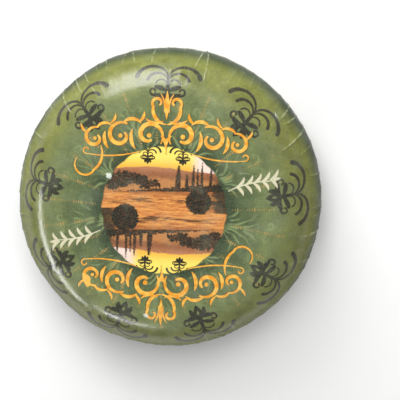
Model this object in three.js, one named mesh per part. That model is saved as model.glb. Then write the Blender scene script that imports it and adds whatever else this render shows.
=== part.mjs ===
// A wheel of semi-hard cheese in a printed film, lying on its bare base.
//
// The wheel is a flat drum with a broad round upper shoulder, a bulging side that leans in
// towards the base, and a tight lower corner. It is one solid piece of cheese with its own
// rind, and the film is pressed over its face and side and ends just above the lower corner.
//
// Frame: millimetres, +Z up along the wheel's axis, the origin at the centre of the base.

import * as THREE from 'three';

// Driving dimensions
const WHEEL_DIAMETER = 350;
const WHEEL_HEIGHT = 122;
const BULGE_HEIGHT = 57; // height of the widest ring above the base
const FACE_RADIUS = 124; // the flat of the upper face, inside its shoulder
const SIDE_RADIUS = 140; // of the arc that leans in from the widest ring to the base
const CORNER_RADIUS = 7; // between the side and the base
const FILM_THICKNESS = 0.5;
const FILM_GAP = 0.3; // left between the film and the rind
const FILM_EDGE_HEIGHT = 6; // the film's lower edge, above the base

// How finely the round stretches are divided
const TURNS = 72;
const SHOULDER_STEPS = 12;
const SIDE_STEPS = 6;
const CORNER_STEPS = 3;

const WHEEL_RADIUS = WHEEL_DIAMETER / 2;

// The upper shoulder is a quarter of an ellipse, from the flat face out to the widest ring.
// An inset moves it inwards by that distance, as it does in the profiles below.
function shoulder(inset) {
  const across = WHEEL_RADIUS - FACE_RADIUS - inset;
  const down = WHEEL_HEIGHT - BULGE_HEIGHT - inset;
  const points = [];
  for (let step = 0; step <= SHOULDER_STEPS; step += 1) {
    const turn = (step / SHOULDER_STEPS) * (Math.PI / 2);
    points.push(new THREE.Vector2(
      FACE_RADIUS + across * Math.sin(turn),
      BULGE_HEIGHT + down * Math.cos(turn),
    ));
  }
  return points;
}

// The side is an arc that starts upright at the widest ring and leans in below it, down to
// the height given.
function side(inset, lowest) {
  const radius = SIDE_RADIUS - inset;
  const centre = WHEEL_RADIUS - SIDE_RADIUS;
  const end = Math.asin((BULGE_HEIGHT - lowest) / radius);
  const points = [];
  for (let step = 1; step <= SIDE_STEPS; step += 1) {
    const turn = (step / SIDE_STEPS) * end;
    points.push(new THREE.Vector2(
      centre + radius * Math.cos(turn),
      BULGE_HEIGHT - radius * Math.sin(turn),
    ));
  }
  return points;
}

// The lower corner is an arc that touches the side above it and the flat base below it.
function corner(inset) {
  const sideCentre = WHEEL_RADIUS - SIDE_RADIUS;
  const reach = SIDE_RADIUS - inset - CORNER_RADIUS;
  const drop = BULGE_HEIGHT - CORNER_RADIUS;
  const lean = Math.asin(drop / reach);
  const centre = sideCentre + reach * Math.cos(lean);
  const arc = [];
  for (let step = 1; step <= CORNER_STEPS; step += 1) {
    const turn = lean + (step / CORNER_STEPS) * (Math.PI / 2 - lean);
    arc.push(new THREE.Vector2(
      centre + CORNER_RADIUS * Math.cos(turn),
      CORNER_RADIUS - CORNER_RADIUS * Math.sin(turn),
    ));
  }
  return { arc, top: CORNER_RADIUS - CORNER_RADIUS * Math.sin(lean) };
}

// The cheese itself: face, shoulder, side, corner and base, all in one closed outline.
function cheeseProfile() {
  const inset = FILM_THICKNESS + FILM_GAP;
  const lower = corner(inset);
  return [
    new THREE.Vector2(0, WHEEL_HEIGHT - inset),
    ...shoulder(inset),
    ...side(inset, lower.top),
    ...lower.arc,
    new THREE.Vector2(0, 0),
  ];
}

// The film: its outer surface down to the edge, then its inner surface back up to the axis.
function filmProfile() {
  const outer = [...shoulder(0), ...side(0, FILM_EDGE_HEIGHT)];
  const inner = [
    ...shoulder(FILM_THICKNESS),
    ...side(FILM_THICKNESS, FILM_EDGE_HEIGHT),
  ];
  return [
    new THREE.Vector2(0, WHEEL_HEIGHT),
    ...outer,
    ...inner.reverse(),
    new THREE.Vector2(0, WHEEL_HEIGHT - FILM_THICKNESS),
  ];
}

// Turns a profile, read from the top of the axis round to its foot, into a mesh about +Z.
function turned(name, profile, material) {
  const geometry = new THREE.LatheGeometry([...profile].reverse(), TURNS);
  const mesh = new THREE.Mesh(geometry, material);
  mesh.name = name;
  mesh.rotation.x = Math.PI / 2;
  return mesh;
}

const rindMaterial = new THREE.MeshStandardMaterial({
  color: 0xd9a657,
  roughness: 0.55,
  metalness: 0,
});

const filmMaterial = new THREE.MeshStandardMaterial({
  color: 0x6f7d48,
  roughness: 0.3,
  metalness: 0,
});

const wheel = new THREE.Group();
wheel.add(turned('cheese_body', cheeseProfile(), rindMaterial));
wheel.add(turned('printed_film', filmProfile(), filmMaterial));

export default wheel;
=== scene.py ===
"""A wheel of semi-hard cheese in a printed film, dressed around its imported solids.

The wheel lies on its bare base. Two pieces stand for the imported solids: the cheese with its own
rind, and the film pressed over its face and side. Both are skins turned about the wheel's axis
from one outline, and a place on them is given by its path, which is the distance walked along
the outline from the middle of the face, and its angle about the axis. Lengths are in metres. The
film's print is laid out on the flat sheet, before it was wrapped, and is in millimetres.
"""
import logging
import math
import random
from abc import ABC, abstractmethod
from collections.abc import Callable, Mapping, Sequence
from dataclasses import dataclass, field
from enum import Enum, IntEnum
from typing import ClassVar

import bpy
import numpy as np
from mathutils import Matrix, Quaternion, Vector


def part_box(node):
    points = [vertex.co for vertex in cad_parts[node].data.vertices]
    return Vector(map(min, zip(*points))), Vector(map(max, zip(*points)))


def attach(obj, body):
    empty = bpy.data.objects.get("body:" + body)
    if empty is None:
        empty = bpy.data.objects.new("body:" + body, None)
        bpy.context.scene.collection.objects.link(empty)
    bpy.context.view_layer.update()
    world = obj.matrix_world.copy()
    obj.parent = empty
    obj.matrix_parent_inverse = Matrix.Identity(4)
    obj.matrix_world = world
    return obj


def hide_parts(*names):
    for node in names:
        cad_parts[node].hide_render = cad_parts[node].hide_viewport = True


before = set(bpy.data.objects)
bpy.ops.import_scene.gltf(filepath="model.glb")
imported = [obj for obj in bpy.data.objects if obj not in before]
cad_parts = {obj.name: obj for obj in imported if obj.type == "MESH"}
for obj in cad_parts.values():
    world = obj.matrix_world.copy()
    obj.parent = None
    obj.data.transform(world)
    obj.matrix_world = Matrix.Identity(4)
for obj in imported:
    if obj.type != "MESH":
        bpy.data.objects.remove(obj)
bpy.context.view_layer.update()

LOG = logging.getLogger("cheese_wheel")
Array = np.ndarray
Socket = bpy.types.NodeSocket
Value = float | Socket
Colour = tuple[float, float, float, float]
Flat = tuple[float, float]

MILLIMETRE = 0.001
SHEET_MAP = "Sheet"  # the UV map that holds each point's place on the flat sheet, in millimetres
BAKE_MAP = "OFBake"  # the UV map that lays the skin out once, without overlaps
CREASE = "Crease"  # the attribute that tells how sharply the film is creased


def tone(red: float, green: float, blue: float) -> Colour:
    """Turns a colour as a swatch book gives it, from 0 to 255, into linear light.

    Args:
        red: The red part.
        green: The green part.
        blue: The blue part.

    Returns:
        The linear colour, with an alpha of one.
    """
    parts = [part / 255 for part in (red, green, blue)]
    linear = [p / 12.92 if p <= 0.04045 else ((p + 0.055) / 1.055) ** 2.4 for p in parts]
    return (linear[0], linear[1], linear[2], 1.0)


def eased(value: Array) -> Array:
    """Returns a smooth step from 0 to 1 as the value goes from 0 to 1."""
    held = np.clip(value, 0.0, 1.0)
    return held * held * (3 - 2 * held)


# ---------------------------------------------------------------------------------------------
# The wheel's outline
# ---------------------------------------------------------------------------------------------


@dataclass(frozen=True)
class WheelOutline:
    """The wheel's outline, from the middle of its face, round its side, to that of its base.

    Attributes:
        radius: Of the widest ring.
        height: Of the face above the base.
        bulge_height: Of the widest ring above the base.
        face_radius: Of the flat of the face, inside its shoulder.
        side_radius: Of the arc that leans in from the widest ring to the base.
        corner_radius: Between the side and the base.
        film_edge_height: Of the film's lower edge above the base.
        samples: How many points each stretch is measured at.
        points: Places along the outline, as distance from the axis and height.
        paths: How far along the outline each of them is.
        outward: The direction that faces outward at each of them.
    """

    radius: float
    height: float
    bulge_height: float = 0.057
    face_radius: float = 0.124
    side_radius: float = 0.140
    corner_radius: float = 0.007
    film_edge_height: float = 0.006
    samples: int = 400
    points: Array = field(init=False)
    paths: Array = field(init=False)
    outward: Array = field(init=False)

    def __post_init__(self) -> None:
        """Measures the outline once."""
        points = np.concatenate([self._face(), self._shoulder(), self._side(), self._foot()])
        steps = np.hypot(*np.diff(points, axis=0).T)
        kept = np.concatenate([[True], steps > 1e-9])
        points = points[kept]
        steps = np.hypot(*np.diff(points, axis=0).T)
        along = np.gradient(points, axis=0)
        along /= np.linalg.norm(along, axis=1, keepdims=True)
        object.__setattr__(self, "points", points)
        object.__setattr__(self, "paths", np.concatenate([[0.0], np.cumsum(steps)]))
        object.__setattr__(self, "outward", np.stack([-along[:, 1], along[:, 0]], axis=1))

    def _face(self) -> Array:
        """Returns the flat of the face."""
        across = np.linspace(0.0, self.face_radius, self.samples)
        return np.stack([across, np.full_like(across, self.height)], axis=1)

    def _shoulder(self) -> Array:
        """Returns the quarter ellipse from the flat of the face to the widest ring."""
        turn = np.linspace(0.0, math.pi / 2, self.samples)
        across = self.radius - self.face_radius
        down = self.height - self.bulge_height
        return np.stack(
            [self.face_radius + across * np.sin(turn), self.bulge_height + down * np.cos(turn)],
            axis=1,
        )

    def _side(self) -> Array:
        """Returns the arc that leans in from the widest ring to the lower corner."""
        turn = np.linspace(0.0, self._lean(), self.samples)
        centre = self.radius - self.side_radius
        return np.stack(
            [
                centre + self.side_radius * np.cos(turn),
                self.bulge_height - self.side_radius * np.sin(turn),
            ],
            axis=1,
        )

    def _foot(self) -> Array:
        """Returns the lower corner's arc and the flat of the base."""
        turn = np.linspace(self._lean(), math.pi / 2, self.samples)
        centre = self.base_radius
        corner = np.stack(
            [
                centre + self.corner_radius * np.cos(turn),
                self.corner_radius * (1 - np.sin(turn)),
            ],
            axis=1,
        )
        base = np.stack([np.linspace(centre, 0.0, self.samples), np.zeros(self.samples)], axis=1)
        return np.concatenate([corner, base])

    def _lean(self) -> float:
        """Returns how far round the side's arc goes before the lower corner."""
        drop = self.bulge_height - self.corner_radius
        return math.asin(drop / (self.side_radius - self.corner_radius))

    @property
    def base_radius(self) -> float:
        """The radius of the flat of the base."""
        reach = (self.side_radius - self.corner_radius) * math.cos(self._lean())
        return self.radius - self.side_radius + reach

    @property
    def length(self) -> float:
        """The whole path, from the middle of the face to the middle of the base."""
        return float(self.paths[-1])

    @property
    def film_edge(self) -> float:
        """The path at which the film ends."""
        below = (self.points[:, 1] <= self.film_edge_height) & (self.points[:, 0] > 0)
        return float(self.paths[np.argmax(below)])

    def places(self, path: Array, angle: Array, lift: Array) -> Array:
        """Finds points on the wheel.

        Args:
            path: How far along the outline each point is.
            angle: Each point's angle about the axis.
            lift: How far each point stands out from the outline.

        Returns:
            The points, as rows of X, Y and Z.
        """
        across = np.interp(path, self.paths, self.points[:, 0])
        up = np.interp(path, self.paths, self.points[:, 1])
        out = np.interp(path, self.paths, self.outward[:, 0])
        rise = np.interp(path, self.paths, self.outward[:, 1])
        distance = np.maximum(across + out * lift, 0.0)
        return np.stack(
            [distance * np.cos(angle), distance * np.sin(angle), up + rise * lift], axis=-1
        )

    def girth(self, path: Array) -> Array:
        """Returns the outline's distance from the axis at each path."""
        return np.interp(path, self.paths, self.points[:, 0])


# ---------------------------------------------------------------------------------------------
# What makes the wheel's surface uneven
# ---------------------------------------------------------------------------------------------


class Relief(ABC):
    """A cause of unevenness in a skin."""

    @abstractmethod
    def lift(self, outline: WheelOutline, path: Array, angle: Array) -> Array:
        """Finds how far the surface stands out.

        Args:
            outline: The wheel's outline.
            path: How far along the outline each point is.
            angle: Each point's angle about the axis.

        Returns:
            The lift at each point.
        """


@dataclass(frozen=True)
class Slump(Relief):
    """The broad waves that a wheel takes on as it is pressed, turned and left to ripen.

    Attributes:
        side_depth: How deep the waves are on the shoulder and the side.
        face_depth: How deep they are on the face.
        face_wave: The distance from one wave of the face to the next.
        settled_path: Past this path the wheel rests on its base, and nothing moves.
    """

    side_depth: float
    face_depth: float
    face_wave: float
    settled_path: float

    def lift(self, outline: WheelOutline, path: Array, angle: Array) -> Array:
        """Adds slow waves round the side and rolling ones across the face."""
        side = eased(path / outline.face_radius - 0.55) * self.side_depth
        round_waves = (
            0.55 * np.sin(2 * angle + 0.7)
            + 0.30 * np.sin(3 * angle + 2.1)
            + 0.30 * np.sin(5 * angle + path * 21)
            + 0.22 * np.sin(8 * angle - path * 34)
        )
        x = path * np.cos(angle) / self.face_wave
        y = path * np.sin(angle) / self.face_wave
        rolls = np.sin(6.28 * x + 1.3 * np.sin(3.1 * y)) * np.cos(5.1 * y - 0.9)
        settled = 1 - eased((path - self.settled_path + 0.02) / 0.02)
        return (side * round_waves + self.face_depth * rolls) * settled


@dataclass(frozen=True)
class Blister(Relief):
    """A small bubble under the film, or with a negative height a small dent.

    Attributes:
        place: Its middle on the flat sheet, in millimetres.
        width: How far it reaches from its middle, in millimetres.
        height: How far it stands out.
        stretch: How many times longer it is than wide.
        turn: The angle of its length.
    """

    place: Flat
    width: float
    height: float
    stretch: float = 1.0
    turn: float = 0.0

    def lift(self, outline: WheelOutline, path: Array, angle: Array) -> Array:
        """Adds a rounded mound with a faint moat."""
        x = path / MILLIMETRE * np.cos(angle) - self.place[0]
        y = path / MILLIMETRE * np.sin(angle) - self.place[1]
        long = (x * math.cos(self.turn) + y * math.sin(self.turn)) / self.stretch
        short = y * math.cos(self.turn) - x * math.sin(self.turn)
        away = np.hypot(long, short) / self.width
        return self.height * (1 - 0.25 * away**2) * np.exp(-(away**2))


@dataclass(frozen=True)
class Pleat:
    """One fold of the film, where the flat sheet was gathered to go round the shoulder.

    Attributes:
        angle: Where it stands.
        start: The path at which it begins.
        skew: How far it turns aside, in radians for each metre of its path.
        strength: How marked it is, up to 1.
        width: Half the width of its ridge.
        lap: How far the film on one side of it is raised, where it lies double.
    """

    angle: float
    start: float
    skew: float
    strength: float
    width: float
    lap: float

    def across(self, outline: WheelOutline, path: Array, angle: Array) -> Array:
        """Returns how far each point is from the fold, measured round the wheel."""
        shift = self.skew * (path - self.start)
        turn = (angle - self.angle - shift + math.pi) % (2 * math.pi) - math.pi
        return turn * outline.girth(path)

    def ridge(self, outline: WheelOutline, path: Array, angle: Array) -> Array:
        """Returns the shape of the fold's sharp ridge, from 0 to its strength."""
        across = self.across(outline, path, angle)
        rise = eased((path - self.start) / 0.018)
        return self.strength * rise * np.exp(-np.abs(across / self.width) ** 1.5)


@dataclass(frozen=True)
class Pleats(Relief):
    """All the folds of the film round the shoulder, and the flats that it pulls between them.

    Attributes:
        count: How many there are.
        earliest: The shortest path at which one begins.
        latest: The longest path at which one begins.
        tallest: The height of the tallest.
        sag: How far the film lies in, midway between two.
        seed: For their uneven spacing.
    """

    count: int = 84
    earliest: float = 0.136
    latest: float = 0.196
    tallest: float = 0.00055
    sag: float = 0.00028
    seed: int = 11

    def folds(self) -> list[Pleat]:
        """Returns the folds, in order round the wheel."""
        draw = random.Random(self.seed)
        pitch = 2 * math.pi / self.count
        folds = []
        for place in range(self.count):
            strength = 0.25 + 0.75 * draw.random()
            reach = (self.latest - self.earliest) * (0.25 + 0.75 * strength)
            folds.append(
                Pleat(
                    angle=(place + draw.uniform(-0.42, 0.42)) * pitch,
                    start=self.latest - reach * draw.uniform(0.5, 1.0),
                    skew=draw.uniform(-0.9, 0.9),
                    strength=strength,
                    width=draw.uniform(0.0007, 0.0011),
                    lap=draw.uniform(-0.00016, 0.00016),
                )
            )
        return folds

    def crease(self, outline: WheelOutline, path: Array, angle: Array) -> Array:
        """Returns how sharply the film is creased at each point, from 0 to about 1."""
        total = np.zeros(path.shape)
        for fold in self.folds():
            total += fold.ridge(outline, path, angle)
        return total

    def lift(self, outline: WheelOutline, path: Array, angle: Array) -> Array:
        """Adds a sharp ridge for each fold, its doubled side, and the flats between folds."""
        total = np.zeros(np.broadcast(path, angle).shape)
        folds = self.folds()
        for fold, following in zip(folds, folds[1:] + folds[:1]):
            across = fold.across(outline, path, angle)
            rise = eased((path - fold.start) / 0.018)
            doubled = fold.lap * (across > 0) * np.exp(-np.abs(across) / 0.006)
            total += rise * doubled + self.tallest * fold.ridge(outline, path, angle)
            gap = (following.angle - fold.angle) % (2 * math.pi)
            part = np.clip(across / np.maximum(outline.girth(path), 1e-6) / gap, 0.0, 1.0)
            pulled = eased((path - self.earliest) / 0.03) * min(gap / 0.08, 1.6)
            total -= self.sag * pulled * 4 * part * (1 - part)
        return total


@dataclass(frozen=True)
class Together(Relief):
    """Several causes at once.

    Attributes:
        causes: What is added up.
        offset: A plain lift that is added to them.
    """

    causes: tuple[Relief, ...]
    offset: float = 0.0

    def lift(self, outline: WheelOutline, path: Array, angle: Array) -> Array:
        """Adds the causes up."""
        total = np.full(np.broadcast(path, angle).shape, self.offset)
        for cause in self.causes:
            total = total + cause.lift(outline, path, angle)
        return total


@dataclass(frozen=True)
class RindGrain(Relief):
    """The rind of the base: the weave of the pressing cloth, pits, and a hollowed middle.

    Attributes:
        hidden_offset: How far the cheese lies in under the film.
        film_edge: The path at which the film ends.
        base_path: The path at which the flat of the base begins.
        depth: Of the grain.
    """

    hidden_offset: float
    film_edge: float
    base_path: float
    depth: float = 0.0003

    def lift(self, outline: WheelOutline, path: Array, angle: Array) -> Array:
        """Lowers what the film covers, swells what it leaves bare, and roughens the base."""
        bare = eased((path - self.film_edge + 0.001) / 0.005)
        x = (outline.length - path) * np.cos(angle)
        y = (outline.length - path) * np.sin(angle)
        lumps = np.sin(x * 410 + 2 * np.sin(y * 170)) * np.sin(y * 370 + 2 * np.cos(x * 150))
        flat = eased((path - self.base_path) / 0.012)
        inward = outline.length - path
        hollow = 0.0012 * (1 - eased(inward / (outline.length - self.base_path) * 1.05))
        sunk = self.depth * (1 + lumps) / 2 + hollow
        return self.hidden_offset * (1 - bare) - sunk * flat


# ---------------------------------------------------------------------------------------------
# Skins turned about the axis
# ---------------------------------------------------------------------------------------------


class Patch(IntEnum):
    """Which part of the bake's map a face is laid out on."""

    SHOWN = 0
    HIDDEN = 1


@dataclass(frozen=True)
class Band:
    """A stretch of a skin whose rings all have the same number of points.

    Attributes:
        end: The path at which it ends.
        step: The longest distance from one ring to the next.
        count: How many points each ring has.
    """

    end: float
    step: float
    count: int


@dataclass
class Skin:
    """A closed mesh turned about the wheel's axis, built ring by ring.

    Attributes:
        outline: The wheel's outline.
        points: Where each ring's points are.
        sheet: Where they are on the flat sheet.
        faces: The faces, as numbers of points.
        patches: Which part of the bake's map each face is laid out on.
        size: How many points there are.
        shown_reach: The radius of the shown patch on the bake's map.
        hidden_reach: The radius of the hidden patch.
        hidden_middle: How far the hidden patch's middle is from the map's corner, each way.
    """

    outline: WheelOutline
    points: list[Array] = field(default_factory=list)
    sheet: list[Array] = field(default_factory=list)
    faces: list[tuple[int, ...]] = field(default_factory=list)
    patches: list[int] = field(default_factory=list)
    size: int = 0
    shown_reach: ClassVar[float] = 0.495
    hidden_reach: ClassVar[float] = 0.062
    hidden_middle: ClassVar[float] = 0.068

    def ring(self, path: Array | float, count: int, relief: Relief) -> range:
        """Adds one ring of points.

        Args:
            path: How far along the outline the ring is, the same all round or point by point.
            count: How many points it has, or 1 for a pole.
            relief: What makes it uneven.

        Returns:
            The numbers of its points.
        """
        angle = np.arange(count) * (2 * math.pi / count)
        along = np.broadcast_to(np.asarray(path, float), angle.shape)
        lift = relief.lift(self.outline, along, angle)
        self.points.append(self.outline.places(along, angle, lift))
        self.sheet.append(np.stack([along * np.cos(angle), along * np.sin(angle)], axis=1))
        numbers = range(self.size, self.size + count)
        self.size += count
        return numbers

    def join(self, first: range, second: range, patch: Patch) -> None:
        """Fills the strip between two rings.

        The second ring has as many points as the first, twice or half as many, or is a pole.

        Args:
            first: The numbers of one ring's points.
            second: The numbers of the next ring's points.
            patch: Which part of the bake's map the strip is on.
        """
        made = len(self.faces)
        if len(first) > len(second):
            self._fan(second, first, flip=True)
        else:
            self._fan(first, second, flip=False)
        self.patches.extend([int(patch)] * (len(self.faces) - made))

    def _fan(self, coarse: range, fine: range, flip: bool) -> None:
        """Fills the strip between a ring and one with as many points, or twice as many."""
        here, there = len(coarse), len(fine)
        for i in range(there if here == 1 else here):
            if here == 1:
                found = [(coarse[0], fine[i], fine[(i + 1) % there])]
            elif here == there:
                j = (i + 1) % here
                found = [(coarse[i], fine[i], fine[j], coarse[j])]
            else:
                a, b, c = fine[2 * i], fine[2 * i + 1], fine[(2 * i + 2) % there]
                left, right = coarse[i], coarse[(i + 1) % here]
                found = [(left, a, b), (left, b, right), (right, b, c)]
            self.faces.extend(face[::-1] if flip else face for face in found)

    def bands(
        self, start: float, bands: Sequence[Band], relief: Relief, patch: Patch, last: range
    ) -> range:
        """Adds rings along the outline, band by band.

        Args:
            start: The path of the ring before the first band.
            bands: The bands, in order along the outline in either direction.
            relief: What makes the rings uneven.
            patch: Which part of the bake's map they are on.
            last: The numbers of the ring before the first band.

        Returns:
            The numbers of the last ring's points.
        """
        for band in bands:
            steps = max(1, math.ceil(abs(band.end - start) / band.step))
            for path in np.linspace(start, band.end, steps + 1)[1:]:
                ring = self.ring(path, band.count, relief)
                self.join(last, ring, patch)
                last = ring
            start = band.end
        return last

    def made(self, name: str, hidden_from_base: bool) -> bpy.types.Object:
        """Makes the object, with its sheet map and its bake map.

        Args:
            name: The object's name.
            hidden_from_base: Whether the shown patch is laid out from the middle of the base
                rather than from that of the face.

        Returns:
            The object, in the scene.
        """
        mesh = bpy.data.meshes.new(name)
        mesh.from_pydata(np.concatenate(self.points).tolist(), [], self.faces)
        mesh.shade_smooth()
        corner_point = np.empty(len(mesh.loops), np.int32)
        mesh.loops.foreach_get("vertex_index", corner_point)
        sizes = [len(face) for face in self.faces]
        hidden = np.repeat(np.array(self.patches), sizes) == Patch.HIDDEN
        sheet = np.concatenate(self.sheet)[corner_point]
        self._map(mesh, SHEET_MAP, sheet / MILLIMETRE)
        self._map(mesh, BAKE_MAP, self._laid_out(sheet, hidden, hidden_from_base))
        mesh.uv_layers.active = mesh.uv_layers[SHEET_MAP]
        mesh.uv_layers[SHEET_MAP].active_render = True
        made = bpy.data.objects.new(name, mesh)
        bpy.context.scene.collection.objects.link(made)
        return made

    def _laid_out(self, sheet: Array, hidden: Array, from_base: bool) -> Array:
        """Lays the shown patch out as one large disc and the hidden one as a small disc."""
        path = np.linalg.norm(sheet, axis=1)
        towards = sheet / np.maximum(path, 1e-9)[:, None]
        shown = self.outline.length - path if from_base else path
        across = np.where(hidden, path, shown)
        big = self.shown_reach / across[~hidden].max()
        small = self.hidden_reach / across[hidden].max()
        scale = np.where(hidden, small, big)[:, None]
        middle = np.where(hidden, self.hidden_middle, 0.5)[:, None]
        return middle + towards * across[:, None] * scale

    def mark(self, made: bpy.types.Object, name: str, measure: Callable[..., Array]) -> None:
        """Stores a number for each of the object's points, for its material to read.

        Args:
            made: The object that was made from this skin.
            name: The attribute's name.
            measure: Finds the numbers from the outline, the paths and the angles.
        """
        sheet = np.concatenate(self.sheet)
        path = np.linalg.norm(sheet, axis=1)
        numbers = measure(self.outline, path, np.arctan2(sheet[:, 1], sheet[:, 0]))
        layer = made.data.attributes.new(name, "FLOAT", "POINT")
        layer.data.foreach_set("value", numbers.astype(np.float32))

    @staticmethod
    def _map(mesh: bpy.types.Mesh, name: str, places: Array) -> None:
        """Adds one UV map to the mesh."""
        layer = mesh.uv_layers.new(name=name)
        layer.uv.foreach_set("vector", places.astype(np.float32).ravel())


# ---------------------------------------------------------------------------------------------
# Wiring shader nodes
# ---------------------------------------------------------------------------------------------


class Graph:
    """Adds nodes to one shader tree, wired as they are made."""

    def __init__(self, tree: bpy.types.NodeTree) -> None:
        """Starts on a tree.

        Args:
            tree: The tree that takes the nodes.
        """
        self.tree = tree

    def add(
        self, kind: str, inputs: Mapping[str, object] | None = None, **settings: object
    ) -> bpy.types.Node:
        """Adds one node.

        Args:
            kind: The node's type.
            inputs: A value or a socket for each named input.
            **settings: Properties of the node.

        Returns:
            The node.
        """
        node = self.tree.nodes.new(kind)
        for name, value in settings.items():
            setattr(node, name, value)
        for name, value in (inputs or {}).items():
            self.feed(node.inputs[name], value)
        return node

    def feed(self, socket: Socket, value: object) -> None:
        """Links a socket to another, or sets its value."""
        if isinstance(value, bpy.types.NodeSocket):
            self.tree.links.new(value, socket)
        else:
            socket.default_value = value

    def math(self, operation: str, *values: Value) -> Socket:
        """Returns the result of a Math node on one to three values."""
        node = self.add("ShaderNodeMath", operation=operation)
        for socket, value in zip(node.inputs, values):
            self.feed(socket, value)
        return node.outputs[0]

    def vector(self, operation: str, *values: object) -> Socket:
        """Returns the result of a Vector Math node on one to three vectors."""
        node = self.add("ShaderNodeVectorMath", operation=operation)
        for socket, value in zip(node.inputs, values):
            self.feed(socket, value)
        alone = operation in ("DISTANCE", "LENGTH", "DOT_PRODUCT")
        return node.outputs["Value" if alone else "Vector"]

    def scaled(self, vector: Socket, by: Value) -> Socket:
        """Returns a vector times a number."""
        node = self.add("ShaderNodeVectorMath", {"Scale": by}, operation="SCALE")
        self.feed(node.inputs[0], vector)
        return node.outputs["Vector"]

    def turned(self, vector: Socket, angle: Value) -> Socket:
        """Returns a vector turned about Z, by an angle in radians, anticlockwise."""
        node = self.add("ShaderNodeVectorRotate", {"Angle": angle}, rotation_type="Z_AXIS")
        self.feed(node.inputs["Vector"], vector)
        return node.outputs["Vector"]

    def headed(self, place: Socket) -> Socket:
        """Returns a place of the upper half as it is, and one of the lower turned half round."""
        height = self.vector("DOT_PRODUCT", place, (0.0, 1.0, 0.0))
        # The sign of zero is zero, so the middle line is lifted into the upper half.
        side = self.math("SIGN", self.math("ADD", height, 0.001))
        return self.scaled(place, side)

    def split(self, vector: Socket) -> tuple[Socket, Socket]:
        """Returns a vector's X and Y."""
        across = self.vector("DOT_PRODUCT", vector, (1.0, 0.0, 0.0))
        return across, self.vector("DOT_PRODUCT", vector, (0.0, 1.0, 0.0))

    def joined(self, x: Value, y: Value, z: Value = 0.0) -> Socket:
        """Returns a vector with those parts."""
        return self.add("ShaderNodeCombineXYZ", {"X": x, "Y": y, "Z": z}).outputs[0]

    def ramp(self, value: Value, low: Value, high: Value, top: Value = 1.0) -> Socket:
        """Returns a smooth step from 0, at low, to top, at high. Low may be the larger."""
        node = self.add(
            "ShaderNodeMapRange",
            {"Value": value, "From Min": low, "From Max": high, "To Max": top},
            interpolation_type="SMOOTHSTEP",
        )
        return node.outputs["Result"]

    def blend(self, factor: Value, under: object, over: object, how: str = "MIX") -> Socket:
        """Returns one colour laid over another."""
        node = self.add("ShaderNodeMix", data_type="RGBA", blend_type=how)
        self.feed(node.inputs["Factor"], factor)
        self.feed(node.inputs[6], under)
        self.feed(node.inputs[7], over)
        return node.outputs[2]

    def shaded(self, colour: object, shade: Value) -> Socket:
        """Returns a colour times a number, which makes it darker or lighter."""
        return self.blend(1.0, colour, self.joined(shade, shade, shade), how="MULTIPLY")

    def bump(self, shader: bpy.types.Node, height: Socket, strength: float, depth: float) -> None:
        """Bends a shader's normal as a height would that stands out as far as the depth."""
        inputs = {"Height": height, "Strength": strength, "Distance": depth}
        node = self.add("ShaderNodeBump", inputs)
        self.feed(shader.inputs["Normal"], node.outputs["Normal"])

    def noise(self, place: Socket, scale: float, detail: float = 3.0, rough: float = 0.5) -> Socket:
        """Returns a noise about a half, at so many lumps for each unit of the place."""
        node = self.add(
            "ShaderNodeTexNoise",
            {"Vector": place, "Scale": scale, "Detail": detail, "Roughness": rough},
            noise_dimensions="3D",
        )
        return node.outputs["Fac"]


class Kind(Enum):
    """What a socket of a node group carries."""

    NUMBER = "NodeSocketFloat"
    PLACE = "NodeSocketVector"
    COLOUR = "NodeSocketColor"


class Effect(ABC):
    """A shader effect, made once as a node group and placed wherever it is used.

    Attributes:
        title: The group's name.
        takes: The group's inputs.
        gives: The group's outputs.
    """

    title: ClassVar[str]
    takes: ClassVar[dict[str, Kind]]
    gives: ClassVar[dict[str, Kind]]

    @abstractmethod
    def wire(self, graph: Graph, given: Mapping[str, Socket]) -> dict[str, Socket]:
        """Wires the effect inside its group.

        Args:
            graph: The group's graph.
            given: The group's inputs, by name.

        Returns:
            A socket for each of the group's outputs, by name.
        """

    def group(self) -> bpy.types.NodeTree:
        """Returns the node group, and makes it the first time."""
        found = bpy.data.node_groups.get(self.title)
        if found:
            return found
        tree = bpy.data.node_groups.new(self.title, "ShaderNodeTree")
        for name, kind in self.takes.items():
            tree.interface.new_socket(name=name, in_out="INPUT", socket_type=kind.value)
        for name, kind in self.gives.items():
            tree.interface.new_socket(name=name, in_out="OUTPUT", socket_type=kind.value)
        graph = Graph(tree)
        entry = graph.add("NodeGroupInput")
        made = self.wire(graph, {name: entry.outputs[name] for name in self.takes})
        graph.add("NodeGroupOutput", made)
        return tree

    def on(self, graph: Graph, **inputs: object) -> bpy.types.bpy_prop_collection:
        """Places the effect in a graph.

        Args:
            graph: The graph that takes it.
            **inputs: A value or a socket for each input, with _ for a space in its name.

        Returns:
            The placed group's outputs.
        """
        node = graph.add("ShaderNodeGroup", node_tree=self.group())
        for name, value in inputs.items():
            graph.feed(node.inputs[name.replace("_", " ")], value)
        return node.outputs


# ---------------------------------------------------------------------------------------------
# Brush strokes, from which the print is drawn
# ---------------------------------------------------------------------------------------------


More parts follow.
